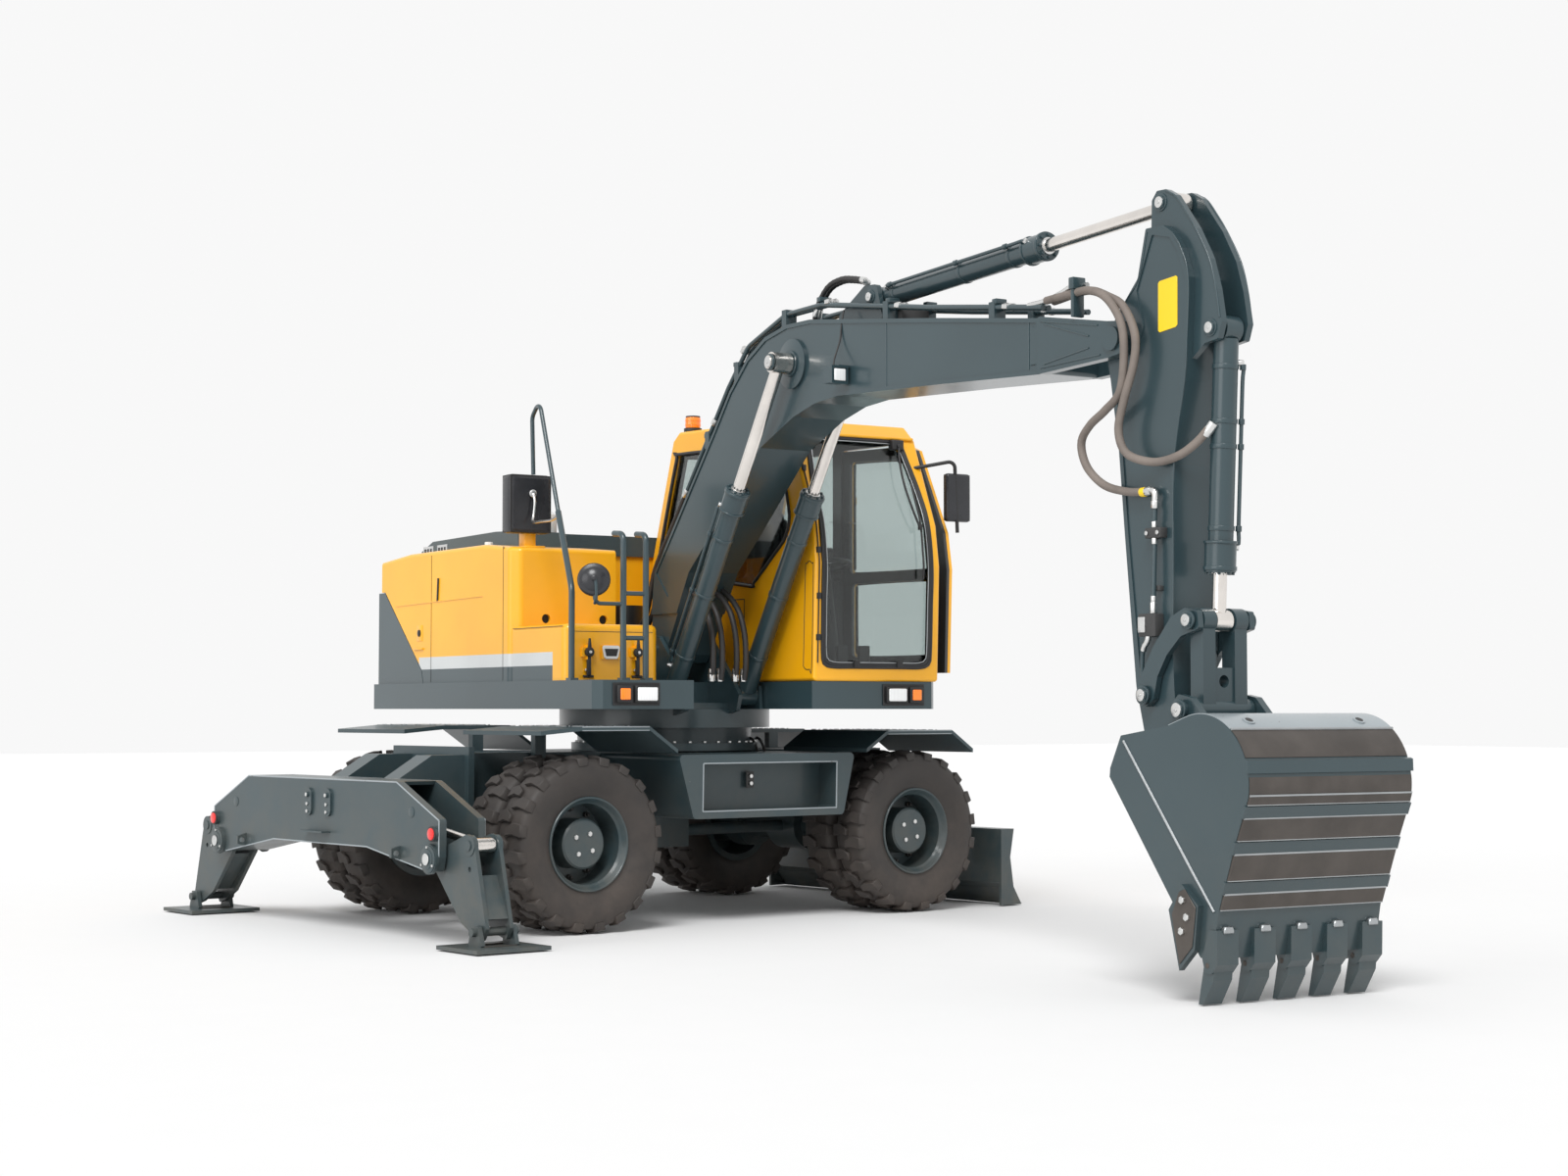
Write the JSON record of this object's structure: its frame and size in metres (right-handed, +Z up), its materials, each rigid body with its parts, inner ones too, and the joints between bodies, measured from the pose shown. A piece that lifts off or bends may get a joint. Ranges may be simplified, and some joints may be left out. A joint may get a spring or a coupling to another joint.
{
  "type": "wheeled excavator",
  "caption": "Wheeled excavator with twin tyres, dozer blade, stabilisers, swinging upper with cab, and a boom, arm and backhoe bucket moved by cylinders.",
  "frame": {"origin": "on the ground under the slew axis, where the tyres stand at z = 0", "axes": "+X forward along the boom, +Y to the cab's side, +Z up; the undercarriage is turned 97.2 degrees under the upper structure, as in the picture"},
  "size_m": [8.6692, 5.1155, 3.8607],
  "materials": {
    "black_paint": "satin",
    "black_plastic": "matt",
    "engine_iron": "rough",
    "grey_paint": "satin",
    "lamp_plastic": "gloss",
    "light_grey_paint": "satin",
    "rim_paint": "satin",
    "rod_chrome": "polished",
    "seat_fabric": "matt",
    "tinted_glass": "gloss",
    "tyre_rubber": "matt",
    "yellow_paint": "gloss"
  },
  "bodies": {
    "chassis": {"chassis_frame": "grey_paint", "axles": "grey_paint", "toolboxes": "grey_paint", "steps": "black_paint", "stabiliser_beam": "grey_paint"},
    "upper": {"upper_frame": "grey_paint", "counterweight": "grey_paint", "hood": "yellow_paint", "hood_top": "light_grey_paint", "engine_block": "engine_iron", "storage_box": "yellow_paint", "cab": "yellow_paint", "cab_glass": "tinted_glass", "seat": "seat_fabric", "console": "black_plastic", "handrails": "black_paint", "mirrors": "black_paint", "lamps": "lamp_plastic", "hydraulics": "black_paint"},
    "door": {"cab_door": "yellow_paint", "door_glass": "tinted_glass"},
    "boom": {"boom": "grey_paint", "boom_pipes": "black_paint"},
    "boom_barrels": {"boom_barrels": "grey_paint"},
    "boom_rods": {"boom_rods": "rod_chrome"},
    "arm_barrel": {"arm_barrel": "grey_paint"},
    "arm_rod": {"arm_rod": "rod_chrome"},
    "arm": {"arm": "grey_paint"},
    "bucket_barrel": {"bucket_barrel": "grey_paint"},
    "bucket_rod": {"bucket_rod": "rod_chrome"},
    "rockers": {"rockers": "grey_paint"},
    "link": {"link": "grey_paint"},
    "bucket": {"bucket": "grey_paint"},
    "blade": {"blade": "grey_paint"},
    "blade_barrels": {"blade_barrels": "grey_paint"},
    "blade_rods": {"blade_rods": "rod_chrome"},
    "leg_right": {"stabiliser_leg_right": "grey_paint"},
    "pad_right": {"stabiliser_pad_right": "grey_paint"},
    "leg_barrel_right": {"stabiliser_barrel_right": "grey_paint"},
    "leg_rod_right": {"stabiliser_rod_right": "rod_chrome"},
    "knuckle_right": {"knuckle_right": "black_paint"},
    "wheel_steered_right": {"rims_steered_right": "rim_paint", "tyres_steered_right": "tyre_rubber"},
    "wheel_fixed_right": {"rims_fixed_right": "rim_paint", "tyres_fixed_right": "tyre_rubber"},
    "leg_left": {"stabiliser_leg_left": "grey_paint"},
    "pad_left": {"stabiliser_pad_left": "grey_paint"},
    "leg_barrel_left": {"stabiliser_barrel_left": "grey_paint"},
    "leg_rod_left": {"stabiliser_rod_left": "rod_chrome"},
    "knuckle_left": {"knuckle_left": "black_paint"},
    "wheel_steered_left": {"rims_steered_left": "rim_paint", "tyres_steered_left": "tyre_rubber"},
    "wheel_fixed_left": {"rims_fixed_left": "rim_paint", "tyres_fixed_left": "tyre_rubber"}
  },
  "joints": [
    {"name": "swing", "type": "hinge", "parent": "chassis", "child": "upper", "pos_m": [0, 0, 0], "axis": [0, 0, 1], "continuous": true},
    {"name": "boom_lift", "type": "hinge", "parent": "upper", "child": "boom", "pos_m": [0.375, -0.09, 1.715], "axis": [0, 1, 0], "range_deg": [-43, 60]},
    {"name": "arm_turn", "type": "hinge", "parent": "boom", "child": "arm", "pos_m": [5.04, -0.09, 3.155], "axis": [0, -1, 0], "range_deg": [-45, 68]},
    {"name": "bucket_turn", "type": "hinge", "parent": "arm", "child": "bucket", "pos_m": [5.331, -0.09, 1.037], "axis": [0, -1, 0], "range_deg": [-150, 15]},
    {"name": "door_swing", "type": "hinge", "parent": "upper", "child": "door", "pos_m": [0.318, 1.268, 1.565], "axis": [0, 0, 1], "range_deg": [-9, 140]},
    {"name": "boom_barrels_turn", "type": "hinge", "parent": "upper", "child": "boom_barrels", "pos_m": [0.74, -0.09, 1.42], "axis": [0, 1, 0], "range_deg": [-43.91, 61.07]},
    {"name": "boom_rods_slide", "type": "slide", "parent": "boom_barrels", "child": "boom_rods", "axis": [0.5503, 0, 0.835], "range_m": [-0.4307, 0.3101]},
    {"name": "arm_barrel_turn", "type": "hinge", "parent": "boom", "child": "arm_barrel", "pos_m": [2.746, -0.09, 3.695], "axis": [0, 1, 0], "range_deg": [-4.44, 3.11]},
    {"name": "arm_rod_slide", "type": "slide", "parent": "arm_barrel", "child": "arm_rod", "axis": [0.9992, 0, 0.0408], "range_m": [-0.7229, 0.4801]},
    {"name": "bucket_barrel_turn", "type": "hinge", "parent": "arm", "child": "bucket_barrel", "pos_m": [5.643, -0.09, 3.139], "axis": [0, 1, 0], "range_deg": [-2.81, 0.73]},
    {"name": "bucket_rod_slide", "type": "slide", "parent": "bucket_barrel", "child": "bucket_rod", "axis": [-0.0525, 0, -0.9986], "range_m": [-0.0835, 0.7905]},
    {"name": "rockers_turn", "type": "hinge", "parent": "arm", "child": "rockers", "pos_m": [5.241, -0.09, 1.397], "axis": [0, -1, 0], "range_deg": [-108.5, 11.3]},
    {"name": "link_turn", "type": "hinge", "parent": "rockers", "child": "link", "pos_m": [5.57, -0.09, 1.75], "axis": [0, -1, 0], "range_deg": [-8.6, 81.5]},
    {"name": "blade_lift", "type": "hinge", "parent": "chassis", "child": "blade", "pos_m": [-0.18487, 1.46337, 0.56], "axis": [0.9921, 0.1253, 0], "range_deg": [-12, 32]},
    {"name": "blade_barrels_turn", "type": "hinge", "parent": "chassis", "child": "blade_barrels", "pos_m": [-0.20931, 1.65683, 1.01], "axis": [0.9921, 0.1253, 0], "range_deg": [-5.71, 14.39]},
    {"name": "blade_rods_slide", "type": "slide", "parent": "blade_barrels", "child": "blade_rods", "axis": [-0.0251, 0.1985, -0.9798], "range_m": [-0.1802, 0.0707]},
    {"name": "leg_right_turn", "type": "hinge", "parent": "chassis", "child": "leg_right", "pos_m": [1.59368, -2.24295, 0.49], "axis": [0.1253, -0.9921, 0], "range_deg": [-12, 105]},
    {"name": "pad_right_turn", "type": "hinge", "parent": "leg_right", "child": "pad_right", "pos_m": [2.00541, -2.19093, 0.108], "axis": [0.1253, -0.9921, 0], "range_deg": [-30, 30]},
    {"name": "leg_barrel_right_turn", "type": "hinge", "parent": "chassis", "child": "leg_barrel_right", "pos_m": [0.63133, -2.36452, 0.76], "axis": [0.1253, -0.9921, 0], "range_deg": [-2.07, 14.27]},
    {"name": "leg_rod_right_slide", "type": "slide", "parent": "leg_barrel_right", "child": "leg_rod_right", "axis": [0.9818, 0.124, -0.1441], "range_m": [-0.4463, 0.0554]},
    {"name": "leg_left_turn", "type": "hinge", "parent": "chassis", "child": "leg_left", "pos_m": [-0.98582, -2.56881, 0.49], "axis": [-0.1253, 0.9921, 0], "range_deg": [-12, 105]},
    {"name": "pad_left_turn", "type": "hinge", "parent": "leg_left", "child": "pad_left", "pos_m": [-1.39754, -2.62082, 0.108], "axis": [-0.1253, 0.9921, 0], "range_deg": [-30, 30]},
    {"name": "leg_barrel_left_turn", "type": "hinge", "parent": "chassis", "child": "leg_barrel_left", "pos_m": [-0.02346, -2.44724, 0.76], "axis": [-0.1253, 0.9921, 0], "range_deg": [-2.07, 14.27]},
    {"name": "leg_rod_left_slide", "type": "slide", "parent": "leg_barrel_left", "child": "leg_rod_left", "axis": [-0.9818, -0.124, -0.1441], "range_m": [-0.4463, 0.0554]},
    {"name": "steering", "type": "hinge", "parent": "chassis", "child": "knuckle_right", "pos_m": [0.87559, -1.34587, 0.53], "axis": [0, 0, 1], "range_deg": [-28, 28]},
    {"name": "steering_left", "type": "hinge", "parent": "chassis", "child": "knuckle_left", "pos_m": [-0.51337, -1.52134, 0.53], "axis": [0, 0, 1], "range_deg": [-28.2, 28.2]},
    {"name": "wheel_steered_right_spin", "type": "hinge", "parent": "knuckle_right", "child": "wheel_steered_right", "pos_m": [1.12362, -1.31454, 0.53], "axis": [-0.9921, -0.1253, 0], "continuous": true},
    {"name": "wheel_fixed_right_spin", "type": "hinge", "parent": "chassis", "child": "wheel_fixed_right", "pos_m": [0.79775, 1.26496, 0.53], "axis": [-0.9921, -0.1253, 0], "continuous": true},
    {"name": "wheel_steered_left_spin", "type": "hinge", "parent": "knuckle_left", "child": "wheel_steered_left", "pos_m": [-0.7614, -1.55267, 0.53], "axis": [-0.9921, -0.1253, 0], "continuous": true},
    {"name": "wheel_fixed_left_spin", "type": "hinge", "parent": "chassis", "child": "wheel_fixed_left", "pos_m": [-1.08727, 1.02683, 0.53], "axis": [-0.9921, -0.1253, 0], "continuous": true}
  ],
  "couplings": [
    {"joint": "boom_barrels_turn", "follows": "boom_lift", "ratio": 1.0095},
    {"joint": "boom_rods_slide", "follows": "boom_lift", "m_per_rad": -0.40648},
    {"joint": "arm_barrel_turn", "follows": "arm_turn", "ratio": -0.057897},
    {"joint": "arm_rod_slide", "follows": "arm_turn", "m_per_rad": -0.60489},
    {"joint": "bucket_barrel_turn", "follows": "bucket_turn", "ratio": 0.015371},
    {"joint": "bucket_rod_slide", "follows": "bucket_turn", "m_per_rad": -0.30003},
    {"joint": "rockers_turn", "follows": "bucket_turn", "ratio": 0.72},
    {"joint": "link_turn", "follows": "bucket_turn", "ratio": -0.54},
    {"joint": "blade_barrels_turn", "follows": "blade_lift", "ratio": 0.4341},
    {"joint": "blade_rods_slide", "follows": "blade_lift", "m_per_rad": -0.31372},
    {"joint": "leg_barrel_right_turn", "follows": "leg_right_turn", "ratio": 0.13115},
    {"joint": "leg_rod_right_slide", "follows": "leg_right_turn", "m_per_rad": -0.24078},
    {"joint": "leg_barrel_left_turn", "follows": "leg_left_turn", "ratio": 0.13115},
    {"joint": "leg_rod_left_slide", "follows": "leg_left_turn", "m_per_rad": -0.24078},
    {"joint": "steering_left", "follows": "steering", "ratio": 1}
  ]
}
